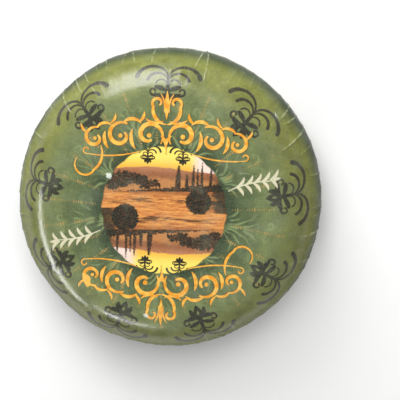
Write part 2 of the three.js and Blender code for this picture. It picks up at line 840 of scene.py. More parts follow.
class BrushStroke(Effect):
    """How far a place is from a stroke that follows an arc or a curl and swells on its way."""

    title = "Brush stroke"
    takes = {
        "Place": Kind.PLACE,
        "Middle": Kind.PLACE,
        "Facing": Kind.NUMBER,
        "Radius": Kind.NUMBER,
        "Sweep": Kind.NUMBER,
        "Closing": Kind.NUMBER,
        "Width": Kind.NUMBER,
        "Taper": Kind.NUMBER,
        "Belly": Kind.NUMBER,
    }
    gives = {"Distance": Kind.NUMBER}

    def wire(self, graph: Graph, given: Mapping[str, Socket]) -> dict[str, Socket]:
        """Finds the nearest point of the arc, and takes off the stroke's width there."""
        away = graph.vector("SUBTRACT", given["Place"], given["Middle"])
        turned = graph.turned(away, graph.math("MULTIPLY", given["Facing"], -1.0))
        x, y = graph.split(turned)
        share = graph.math("DIVIDE", graph.math("ARCTAN2", y, x), given["Sweep"])
        held = graph.math("MAXIMUM", graph.math("MINIMUM", share, 1.0), -1.0)
        turn = graph.math("MULTIPLY", held, given["Sweep"])
        radius = graph.math("MULTIPLY_ADD", given["Closing"], held, given["Radius"])
        rim = graph.joined(graph.math("COSINE", turn), graph.math("SINE", turn))
        apart = graph.vector("DISTANCE", graph.scaled(rim, radius), turned)
        slope = graph.math("MULTIPLY_ADD", given["Belly"], held, given["Taper"])
        width = graph.math("MULTIPLY_ADD", slope, held, given["Width"])
        return {"Distance": graph.math("SUBTRACT", apart, width)}


@dataclass(frozen=True)
class Stroke:
    """A brush stroke as a part of a ring, in millimetres on the sheet.

    Attributes:
        middle: The ring's centre.
        radius: The ring's radius, halfway along the stroke.
        facing: The direction from the centre to the stroke's halfway point.
        sweep: Half the angle that the stroke covers, negative if it runs clockwise.
        widths: Half its width at its start, halfway and at its end.
        closing: How much larger the radius is at the end than halfway.
    """

    middle: Flat
    radius: float
    facing: float
    sweep: float
    widths: tuple[float, float, float]
    closing: float = 0.0

    def on(self, graph: Graph, place: Socket) -> Socket:
        """Returns the distance from a place to the stroke, which is negative inside it."""
        start, middle, end = self.widths
        return BrushStroke().on(
            graph,
            Place=place,
            Middle=(self.middle[0], self.middle[1], 0.0),
            Facing=self.facing,
            Radius=self.radius,
            Sweep=self.sweep,
            Closing=self.closing,
            Width=middle,
            Taper=(end - start) / 2,
            Belly=(start + end) / 2 - middle,
        )["Distance"]


def sweep(start: Flat, end: Flat, bow: float, *widths: float) -> Stroke:
    """Makes a stroke from one point to another.

    Args:
        start: Where it begins.
        end: Where it ends.
        bow: How far it bows out to the left of the straight line between them.
        *widths: Half its width at its start, halfway and at its end.

    Returns:
        The stroke.
    """
    across, up = end[0] - start[0], end[1] - start[1]
    length = math.hypot(across, up)
    bent = math.copysign(max(abs(bow), length / 400), bow or 1.0)
    radius = (length * length / 4 + bent * bent) / (2 * abs(bent))
    side = math.copysign(1.0, bent)
    left = (-up / length * side, across / length * side)
    inward = radius - abs(bent)
    middle = (
        (start[0] + end[0]) / 2 - left[0] * inward,
        (start[1] + end[1]) / 2 - left[1] * inward,
    )
    half = 2 * math.atan2(abs(bent), length / 2)
    return Stroke(middle, radius, math.atan2(left[1], left[0]), -half * side, widths)


def curl(middle: Flat, radii: Flat, start: float, turn: float, *widths: float) -> Stroke:
    """Makes a stroke that curls round a point.

    Args:
        middle: The point.
        radii: The distance from the point at the stroke's start and at its end.
        start: The direction of its start from the point, in degrees.
        turn: How far round it goes, in degrees under 360, negative if clockwise.
        *widths: Half its width at its start, halfway and at its end.

    Returns:
        The stroke.
    """
    return Stroke(
        middle,
        (radii[0] + radii[1]) / 2,
        math.radians(start + turn / 2),
        math.radians(turn / 2),
        widths,
        (radii[1] - radii[0]) / 2,
    )


def drop(middle: Flat, radius: float) -> Stroke:
    """Makes a round drop of ink."""
    return Stroke(middle, 0.01, 0.0, 0.5, (radius, radius, radius))


def nearest(
    graph: Graph, place: Socket, strokes: Sequence[Stroke], found: Socket | None = None
) -> Socket | None:
    """Finds the distance from a place to the nearest of some strokes.

    Args:
        graph: The graph that takes the strokes.
        place: The place.
        strokes: The strokes.
        found: A distance that was found before and counts with theirs, if there is one.

    Returns:
        The least distance, which is negative inside a stroke, or None if there isn't any.
    """
    for stroke in strokes:
        away = stroke.on(graph, place)
        found = away if found is None else graph.math("MINIMUM", found, away)
    return found


# ---------------------------------------------------------------------------------------------
# The effects that the print and the finishes are made of
# ---------------------------------------------------------------------------------------------


class Sector(Effect):
    """Folds the sheet so that one drawing repeats round its centre.

    Inside a sector, Y runs outward from the sheet's centre and X runs clockwise.
    """

    title = "Sector"
    takes = {"Sheet": Kind.PLACE, "Count": Kind.NUMBER, "Turn": Kind.NUMBER}
    gives = {"Place": Kind.PLACE}

    def wire(self, graph: Graph, given: Mapping[str, Socket]) -> dict[str, Socket]:
        """Wraps the angle, clockwise from the top, into one sector."""
        x, y = graph.split(given["Sheet"])
        angle = graph.math("SUBTRACT", graph.math("ARCTAN2", x, y), given["Turn"])
        half = graph.math("DIVIDE", math.pi, given["Count"])
        wrapped = graph.math("WRAP", angle, half, graph.math("MULTIPLY", half, -1.0))
        out = graph.vector("LENGTH", given["Sheet"])
        across = graph.math("MULTIPLY", graph.math("SINE", wrapped), out)
        along = graph.math("MULTIPLY", graph.math("COSINE", wrapped), out)
        return {"Place": graph.joined(across, along)}


class Drawing(Effect):
    """A drawing in brush strokes, which gives the distance to the nearest.

    Attributes:
        paired: The strokes that are drawn for the right half, and folded onto the left.
        single: The strokes that stand once.
    """

    takes = {"Place": Kind.PLACE}
    gives = {"Distance": Kind.NUMBER}
    paired: ClassVar[tuple[Stroke, ...]] = ()
    single: ClassVar[tuple[Stroke, ...]] = ()

    def wire(self, graph: Graph, given: Mapping[str, Socket]) -> dict[str, Socket]:
        """Takes the nearest stroke."""
        place = given["Place"]
        found = nearest(graph, place, self.single)
        x, y = graph.split(place)
        folded = graph.joined(graph.math("ABSOLUTE", x), y)
        return {"Distance": nearest(graph, folded, self.paired, found)}


class Palmette(Drawing):
    """A black flower with arched fronds. Y is the distance from the sheet's centre."""

    title = "Palmette"
    paired = (
        sweep((0.0, 148.0), (35.4, 150.0), 15.4, 0.8, 2.1, 2.7),
        sweep((0.3, 144.6), (22.8, 146.4), 9.6, 0.7, 1.6, 1.9),
        sweep((1.0, 140.4), (13.4, 142.4), 5.6, 0.5, 1.0, 0.9),
        sweep((0.0, 149.6), (0.0, 128.0), 0.0, 1.2, 2.1, 2.8),
        sweep((2.0, 134.4), (13.0, 138.4), 0.6, 1.3, 2.7, 2.0),
        sweep((3.0, 130.6), (13.6, 129.8), -1.6, 1.0, 2.7, 1.8),
        curl((15.6, 133.2), (4.3, 2.2), -96.0, 255.0, 1.5, 1.1, 1.2),
        sweep((0.0, 130.0), (0.0, 114.6), 0.0, 3.4, 4.6, 0.5),
        sweep((3.6, 127.0), (7.6, 119.6), 1.0, 2.2, 3.0, 1.6),
    )


class Scrollwork(Drawing):
    """Gold scrolls above the picture, drawn for the upper half of the sheet."""

    title = "Scrollwork"
    single = (
        sweep((-72.0, 70.0), (-80.0, 42.0), 5.0, 0.41, 1.48, 1.07),
        curl((-89.0, 47.6), (11.0, 12.0), -24.0, -196.0, 1.07, 1.07, 0.41),
    )
    paired = (
        # The crest
        sweep((0.0, 103.0), (0.0, 134.0), 0.0, 0.33, 2.46, 0.16),
        sweep((0.8, 97.0), (15.0, 116.0), -5.0, 0.49, 1.97, 1.31),
        curl((10.0, 120.6), (6.6, 3.0), -44.0, 268.0, 1.31, 1.64, 0.98),
        sweep((3.6, 100.6), (23.0, 103.0), -3.6, 0.25, 1.56, 0.25),
        sweep((3.0, 110.0), (7.4, 131.0), 2.4, 0.16, 1.07, 0.16),
        # The first scroll
        curl((18.6, 84.6), (16.0, 6.2), 214.0, -322.0, 0.66, 2.54, 1.39),
        drop((18.6, 84.0), 2.6),
        sweep((0.0, 64.0), (5.4, 84.0), 3.4, 0.41, 2.13, 0.57),
        # The second, turning the other way
        sweep((28.0, 97.6), (46.0, 98.6), 3.6, 0.41, 1.97, 0.98),
        curl((50.4, 82.8), (15.0, 5.6), 116.0, -326.0, 1.15, 2.38, 1.23),
        drop((50.6, 82.4), 2.4),
        sweep((33.6, 68.6), (37.4, 90.0), -3.0, 0.33, 2.13, 0.49),
        # The third
        sweep((61.0, 94.0), (76.0, 91.0), 3.2, 0.33, 1.64, 0.82),
        curl((78.6, 78.6), (12.4, 4.2), 104.0, -322.0, 0.9, 2.05, 0.98),
        drop((78.8, 78.2), 2.0),
        sweep((63.6, 67.6), (67.4, 86.6), -2.6, 0.33, 1.97, 0.41),
        # Leaves above and below
        sweep((31.0, 98.6), (24.6, 110.6), 2.2, 0.25, 1.64, 0.1),
        sweep((62.0, 95.6), (56.4, 107.0), 2.0, 0.25, 1.48, 0.1),
        sweep((87.6, 84.6), (94.6, 94.0), -1.6, 0.25, 1.39, 0.1),
        sweep((28.0, 66.0), (88.0, 60.6), -3.6, 0.33, 0.86, 0.41),
        curl((88.0, 64.4), (3.9, 2.4), -92.0, 246.0, 0.57, 0.82, 0.74),
    )


class Sprig(Drawing):
    """A cream sprig beside the picture, with pairs of leaves along its stem."""

    title = "Sprig"
    single = (
        sweep((71.0, 26.0), (119.0, 40.0), 3.0, 0.4, 0.85, 0.4),
        *(
            sweep(
                (70.0 + 9.2 * step, 28.6 + 2.6 * step),
                (78.6 + 9.2 * step, 28.6 + 2.6 * step + 11.4 * side),
                -2.2 * side,
                0.2,
                1.75,
                0.15,
            )
            for step in range(1, 6)
            for side in (1.0, -0.84)
        ),
        sweep((119.0, 40.0), (128.0, 43.0), 0.9, 0.3, 1.8, 0.15),
    )


class GrassTuft(Drawing):
    """Broad blades that spring outward from the picture. Y is the distance from the centre."""

    title = "Grass tuft"
    paired = (
        sweep((0.4, 66.0), (3.2, 116.0), 2.4, 1.2, 1.1, 0.1),
        sweep((1.4, 66.0), (10.6, 111.0), 4.8, 1.1, 1.2, 0.1),
        sweep((2.8, 66.0), (18.0, 103.0), 5.6, 1.0, 1.1, 0.1),
        sweep((4.6, 66.0), (23.6, 92.0), 5.2, 0.9, 1.1, 0.1),
        sweep((7.0, 67.0), (26.0, 80.0), 4.0, 0.8, 1.0, 0.1),
        curl((8.0, 117.0), (4.6, 2.0), 196.0, -286.0, 0.5, 0.8, 0.6),
    )


class Beads(Effect):
    """A row of small bars of uneven length that runs outward. Y is the distance outward.

    Attributes:
        pitch: The distance from one bar to the next, in millimetres.
        shortest: Half the length of the shortest bar, or less than zero for a faint dot.
        spread: How much longer half the longest one is.
        edge: How far from a bar's middle line its ink begins and is full.
    """

    title = "Bar row"
    takes = {"Place": Kind.PLACE, "Start": Kind.NUMBER, "End": Kind.NUMBER}
    gives = {"Mask": Kind.NUMBER}
    pitch: ClassVar[float] = 2.7
    shortest: ClassVar[float] = -0.4
    spread: ClassVar[float] = 2.3
    edge: ClassVar[Flat] = (0.85, 0.45)

    def wire(self, graph: Graph, given: Mapping[str, Socket]) -> dict[str, Socket]:
        """Repeats one bar along Y, with a length of its own in each repeat."""
        x, y = graph.split(given["Place"])
        cell = graph.math("DIVIDE", y, self.pitch)
        along = graph.math("SUBTRACT", graph.math("FRACT", cell), 0.5)
        dice = graph.add("ShaderNodeTexWhiteNoise", noise_dimensions="1D")
        graph.feed(dice.inputs["W"], graph.math("FLOOR", cell))
        drawn = dice.outputs["Value"]
        reach = graph.math("MULTIPLY_ADD", drawn, self.spread, self.shortest)
        side = graph.math("MAXIMUM", graph.math("SUBTRACT", graph.math("ABSOLUTE", x), reach), 0.0)
        apart = graph.vector(
            "LENGTH", graph.joined(side, graph.math("MULTIPLY", along, self.pitch))
        )
        bar = graph.ramp(apart, *self.edge)
        inside = graph.math(
            "MULTIPLY",
            graph.math("GREATER_THAN", y, given["Start"]),
            graph.math("LESS_THAN", y, given["End"]),
        )
        return {"Mask": graph.math("MULTIPLY", bar, inside)}


class Ink(Effect):
    """Turns a distance into printed ink, with a soft and slightly ragged edge.

    Attributes:
        raggedness: How far the edge strays in all, in millimetres.
    """

    title = "Ink"
    takes = {"Sheet": Kind.PLACE, "Distance": Kind.NUMBER, "Softness": Kind.NUMBER}
    gives = {"Mask": Kind.NUMBER}
    raggedness: ClassVar[float] = 0.7

    def wire(self, graph: Graph, given: Mapping[str, Socket]) -> dict[str, Socket]:
        """Roughens the distance with a fine noise, and steps it down across the edge."""
        ragged = graph.math("SUBTRACT", graph.noise(given["Sheet"], 0.7, 2.0), 0.5)
        distance = graph.math("MULTIPLY_ADD", ragged, self.raggedness, given["Distance"])
        inside = graph.math("MULTIPLY", given["Softness"], -1.0)
        return {"Mask": graph.ramp(distance, given["Softness"], inside)}


class Mottle(Effect):
    """Uneven tone, as patches of darker and lighter colour with finer ones inside them."""

    title = "Mottle"
    takes = {"Place": Kind.PLACE, "Scale": Kind.NUMBER, "Amount": Kind.NUMBER}
    gives = {"Shade": Kind.NUMBER, "Patch": Kind.NUMBER}

    def wire(self, graph: Graph, given: Mapping[str, Socket]) -> dict[str, Socket]:
        """Adds a broad and a fine noise, and gives their sum about one."""
        place = graph.scaled(given["Place"], given["Scale"])
        broad = graph.noise(place, 1.0, 4.0, 0.6)
        fine = graph.noise(place, 7.0, 3.0, 0.6)
        both = graph.math("MULTIPLY_ADD", fine, 0.5, broad)
        about = graph.math("SUBTRACT", both, 0.75)
        shade = graph.math("MULTIPLY_ADD", about, given["Amount"], 1.0)
        return {"Shade": shade, "Patch": graph.ramp(broad, 0.38, 0.62)}


class FineGrain(Effect):
    """Small lumps and pits in a surface, as a height."""

    title = "Fine grain"
    takes = {"Place": Kind.PLACE, "Scale": Kind.NUMBER, "Pitting": Kind.NUMBER}
    gives = {"Height": Kind.NUMBER}

    def wire(self, graph: Graph, given: Mapping[str, Socket]) -> dict[str, Socket]:
        """Adds soft lumps, and sinks small round pits into them."""
        place = graph.scaled(given["Place"], given["Scale"])
        lumps = graph.noise(place, 1.0, 4.0, 0.55)
        cells = graph.add("ShaderNodeTexVoronoi", {"Vector": place, "Scale": 0.9})
        pits = graph.ramp(cells.outputs["Distance"], 0.22, 0.05)
        sunk = graph.math("MULTIPLY", pits, given["Pitting"])
        return {"Height": graph.math("SUBTRACT", lumps, sunk)}


@dataclass(frozen=True)
class LandscapeInks:
    """The inks of the landscape picture.

    Attributes:
        sky: The low sky.
        sun: The bright sky above it.
        pale: The sky at its right end.
        flower: The palmettes in the sky.
        hill: The hill.
        slope: Its lower slopes.
        meadow: The meadow at its foot.
        scrub: The scrub on it.
        hedge: The hedge and the trees.
        twigs: Their lit leaves.
        straw: The field.
        stubble: Its lighter rows.
        furrow: Its dark furrows.
        verge: Its edge, by the hedge.
        bush: The bushes at its ends.
        shoots: Their lit leaves.
        dusk: The shade at the picture's right end.
    """

    sky: Colour = tone(236, 178, 68)
    sun: Colour = tone(248, 222, 104)
    pale: Colour = tone(240, 214, 200)
    flower: Colour = tone(40, 36, 30)
    hill: Colour = tone(186, 124, 88)
    slope: Colour = tone(148, 94, 62)
    meadow: Colour = tone(196, 134, 78)
    scrub: Colour = tone(84, 56, 42)
    hedge: Colour = tone(42, 35, 30)
    twigs: Colour = tone(108, 74, 52)
    straw: Colour = tone(176, 98, 54)
    stubble: Colour = tone(230, 160, 84)
    furrow: Colour = tone(70, 48, 36)
    verge: Colour = tone(126, 62, 38)
    bush: Colour = tone(42, 37, 32)
    shoots: Colour = tone(96, 66, 46)
    dusk: Colour = tone(42, 40, 33)


@dataclass(frozen=True)
class View:
    """What every part of the landscape is drawn from.

    Attributes:
        graph: The graph that takes it.
        sheet: The place on the sheet.
        half: The same place, in the half of the picture that stands upright.
        x: How far to the right it is in that half.
        y: How far up it is.
        clumps: A coarse unevenness, about zero.
        leaves: A fine unevenness, about zero.
    """

    graph: Graph
    sheet: Socket
    half: Socket
    x: Socket
    y: Socket
    clumps: Socket
    leaves: Socket


class Picture(Effect):
    """A small landscape in a round frame, printed twice, head to head.

    Each half shows a field at its foot, a dark hedge with trees, a hill, and an evening sky.

    Attributes:
        inks: What it is printed in.
        spires: The tall narrow trees.
        copse: The low trees to the left of them.
        bushes: The round bushes at the ends of the field.
    """

    title = "Landscape picture"
    takes = {"Sheet": Kind.PLACE}
    gives = {"Colour": Kind.COLOUR, "Mask": Kind.NUMBER}
    inks: ClassVar[LandscapeInks] = LandscapeInks()
    spires: ClassVar[tuple[Stroke, ...]] = (
        sweep((14.6, 22.0), (15.6, 51.0), 0.0, 2.8, 2.7, 0.9),
        sweep((25.0, 22.0), (24.6, 42.0), 0.0, 2.2, 2.0, 0.6),
        sweep((31.6, 22.0), (32.0, 53.0), 0.0, 1.7, 1.6, 0.4),
        sweep((37.0, 22.0), (36.4, 49.0), 0.0, 1.4, 1.3, 0.4),
        sweep((41.6, 22.0), (41.2, 56.0), 0.0, 1.5, 1.3, 0.3),
        sweep((51.0, 22.0), (51.4, 50.0), 0.0, 1.8, 1.6, 0.5),
    )
    copse: ClassVar[tuple[Stroke, ...]] = (
        sweep((-58.0, 30.0), (-24.0, 33.0), 3.0, 9.0, 8.0, 6.0),
        sweep((-24.0, 28.0), (-8.0, 30.0), 1.0, 4.0, 5.0, 3.0),
    )
    bushes: ClassVar[tuple[Stroke, ...]] = (drop((38.6, 11.8), 14.4), drop((-43.0, -9.8), 15.6))

    def wire(self, graph: Graph, given: Mapping[str, Socket]) -> dict[str, Socket]:
        """Lays the parts of the view over one another, from the sky forward."""
        sheet = given["Sheet"]
        half = graph.headed(sheet)
        x, y = graph.split(half)
        clumps = graph.math("SUBTRACT", graph.noise(half, 0.12, 6.0, 0.7), 0.5)
        leaves = graph.math("SUBTRACT", graph.noise(half, 0.5, 4.0, 0.7), 0.5)
        view = View(graph, sheet, half, x, y, clumps, leaves)
        colour = self._sky(view)
        for laid_over in (self._hill, self._trees, self._field, self._bushes):
            colour = laid_over(view, colour)
        edge = self._edge(graph, sheet)
        reach = graph.math("MULTIPLY_ADD", clumps, 34.0, x)
        dim = graph.math("MULTIPLY", graph.ramp(reach, 48.0, 60.0), graph.ramp(y, 46.0, 30.0))
        colour = graph.blend(graph.math("MULTIPLY", dim, 0.92), colour, self.inks.dusk)
        return {"Colour": colour, "Mask": graph.ramp(edge, 0.9, -0.9)}

    def _sky(self, view: View) -> Socket:
        """Returns an evening sky, paler to the right, with small black palmettes in it."""
        graph, inks = view.graph, self.inks
        sky = graph.blend(graph.ramp(view.y, 46.0, 62.0), inks.sky, inks.sun)
        sky = graph.blend(graph.ramp(view.x, 26.0, 40.0), sky, inks.pale)
        reach = graph.math("SUBTRACT", graph.math("ABSOLUTE", view.x), 19.5)
        size = 1 / 0.4
        across = graph.math("MULTIPLY", reach, size)
        local = graph.joined(across, graph.math("MULTIPLY_ADD", view.y, size, -16.0))
        flower = Palmette().on(graph, Place=local)["Distance"]
        return graph.blend(graph.ramp(flower, 1.2, -0.6), sky, inks.flower)

    def _hill(self, view: View, under: Socket) -> Socket:
        """Returns the colour with a hazy brown hill laid over it, with scrub on its slopes."""
        graph, inks = view.graph, self.inks
        wave = graph.math("SINE", graph.math("MULTIPLY_ADD", view.x, 0.05, 2.2))
        ridge = graph.math("MULTIPLY_ADD", wave, 2.2, 49.0)
        top = graph.math("MULTIPLY_ADD", view.clumps, 4.0, ridge)
        above = graph.math("SUBTRACT", view.y, top)
        haze = graph.math("MULTIPLY_ADD", view.clumps, 10.0, view.y)
        hill = graph.blend(graph.ramp(haze, 50.0, 40.0), inks.hill, inks.slope)
        meadow = graph.math("MULTIPLY_ADD", view.clumps, 18.0, view.y)
        hill = graph.blend(graph.ramp(meadow, 39.0, 33.0, 0.8), hill, inks.meadow)
        scrub = graph.math("MULTIPLY_ADD", view.leaves, 0.5, view.clumps)
        hill = graph.blend(graph.ramp(scrub, 0.06, 0.2, 0.7), hill, inks.scrub)
        grain = graph.math("MULTIPLY_ADD", view.leaves, 0.9, 1.0)
        return graph.blend(graph.ramp(above, -1.0, -2.6), under, graph.shaded(hill, grain))

    def _trees(self, view: View, under: Socket) -> Socket:
        """Returns the colour with a hedge, a copse and a row of spires laid over it."""
        graph, inks = view.graph, self.inks
        spires = nearest(graph, view.half, self.spires)
        copse = nearest(graph, view.half, self.copse)
        copse = graph.math("MULTIPLY_ADD", view.clumps, 22.0, copse)
        slant = graph.math("MULTIPLY_ADD", view.x, 0.12, 26.0)
        top = graph.math("MULTIPLY_ADD", view.clumps, 14.0, slant)
        hedge = graph.math("SUBTRACT", view.y, top)
        least = graph.math("MINIMUM", graph.math("MINIMUM", hedge, copse), spires)
        ragged = graph.math("MULTIPLY_ADD", view.leaves, 5.0, least)
        lit = graph.math("MULTIPLY_ADD", view.clumps, 0.6, view.leaves)
        leaf = graph.blend(graph.ramp(lit, -0.06, 0.16, 0.85), inks.hedge, inks.twigs)
        return graph.blend(graph.ramp(ragged, 0.8, -0.6), under, leaf)

    def _field(self, view: View, under: Socket) -> Socket:
        """Returns the colour with a mown field, streaked along its rows, laid over it."""
        graph, inks = view.graph, self.inks
        rows = graph.turned(view.sheet, -0.045)
        drawn = graph.vector("MULTIPLY", rows, (0.13, 1.0, 1.0))
        streak = graph.noise(drawn, 0.34, 6.0, 0.78)
        light = graph.blend(graph.ramp(streak, 0.36, 0.62), inks.straw, inks.stubble)
        light = graph.shaded(light, graph.math("MULTIPLY_ADD", view.leaves, 0.9, 1.0))
        height = graph.math("ABSOLUTE", view.y)
        far = graph.math("ABSOLUTE", graph.math("SUBTRACT", height, 10.5))
        furrow = graph.math("MULTIPLY_ADD", far, 0.022, graph.noise(drawn, 0.16, 5.0, 0.7))
        mown = graph.blend(graph.ramp(furrow, 0.54, 0.43, 0.88), light, inks.furrow)
        mown = graph.blend(graph.ramp(height, 15.5, 20.5, 0.55), mown, inks.verge)
        slant = graph.math("MULTIPLY_ADD", view.x, 0.045, 21.6)
        top = graph.math("MULTIPLY_ADD", view.clumps, 3.0, slant)
        above = graph.math("SUBTRACT", view.y, top)
        return graph.blend(graph.ramp(above, 0.8, -0.4), under, mown)

    def _bushes(self, view: View, under: Socket) -> Socket:
        """Returns the colour with a round dark bush at each end of the field laid over it."""
        graph, inks = view.graph, self.inks
        near = nearest(graph, view.sheet, self.bushes)
        uneven = graph.math("MULTIPLY_ADD", view.clumps, 7.0, near)
        ragged = graph.math("MULTIPLY_ADD", view.leaves, 6.0, uneven)
        shade = graph.math("MULTIPLY_ADD", view.leaves, 0.8, view.clumps)
        leaf = graph.blend(graph.ramp(shade, -0.06, 0.26, 0.8), inks.bush, inks.shoots)
        return graph.blend(graph.ramp(ragged, 1.0, -1.0), under, leaf)

    @staticmethod
    def _edge(graph: Graph, sheet: Socket) -> Socket:
        """Returns the distance to the picture's scalloped edge, which is negative inside."""
        x, y = graph.split(sheet)
        angle = graph.math("ARCTAN2", x, y)
        lobes = graph.math("ABSOLUTE", graph.math("SINE", graph.math("MULTIPLY", angle, 9.0)))
        out = graph.vector("LENGTH", graph.vector("MULTIPLY", sheet, (1.0, 0.96, 0.0)))
        return graph.math("SUBTRACT", out, graph.math("MULTIPLY_ADD", lobes, 1.3, 68.8))


# ---------------------------------------------------------------------------------------------
# Finishes
# ---------------------------------------------------------------------------------------------


class Finish(ABC):
    """A material of one of the wheel's pieces.

    Attributes:
        name: The material's name.
    """

    name: ClassVar[str]

    @abstractmethod
    def dress(self, graph: Graph, shader: bpy.types.Node) -> None:
        """Wires the material's nodes.

        Args:
            graph: The material's graph.
            shader: Its Principled BSDF.
        """

    def material(self) -> bpy.types.Material:
        """Returns the finished material."""
        made = bpy.data.materials.new(self.name)
        made.use_nodes = True
        shader = made.node_tree.nodes["Principled BSDF"]
        self.dress(Graph(made.node_tree), shader)
        return made

    def wear(self, piece: bpy.types.Object) -> None:
        """Gives the material to a piece."""
        piece.data.materials.append(self.material())


@dataclass(frozen=True)
class FilmRings:
    """Where the film's print and its gloss change, outward from the middle of its sheet.

    Each pair of distances says where a change begins and where it is done, in millimetres. Where
    the first is the larger, what is named fades outward.

    Attributes:
        moss: Where the dark core turns to moss green.
        leaf: Where moss turns to the fresher green.
        olive: Where that turns to olive.
        bottle: Where olive turns to the dark green of the side.
        clouds: Of the milky clouding.
        creases: Of the pale of the creases, which is partly painted highlight.
        smears: Of the smears on the gloss.
        crinkles: Of the rougher film past the shoulder.
        satin: Of the satin finish of the face.
        sheen: Where the strong gloss of the shoulder begins.
        rim: Where that gloss ends.
        side: Where the mild gloss of the side begins.
        wrinkles: Of the fine wrinkles that run outward.
    """

    moss: Flat = (72.0, 92.0)
    leaf: Flat = (92.0, 124.0)
    olive: Flat = (124.0, 156.0)
    bottle: Flat = (188.0, 216.0)
    clouds: Flat = (216.0, 184.0)
    creases: Flat = (232.0, 196.0)
    smears: Flat = (105.0, 130.0)
    crinkles: Flat = (156.0, 190.0)
    satin: Flat = (132.0, 102.0)
    sheen: Flat = (108.0, 134.0)
    rim: Flat = (152.0, 174.0)
    side: Flat = (208.0, 236.0)
    wrinkles: Flat = (130.0, 180.0)


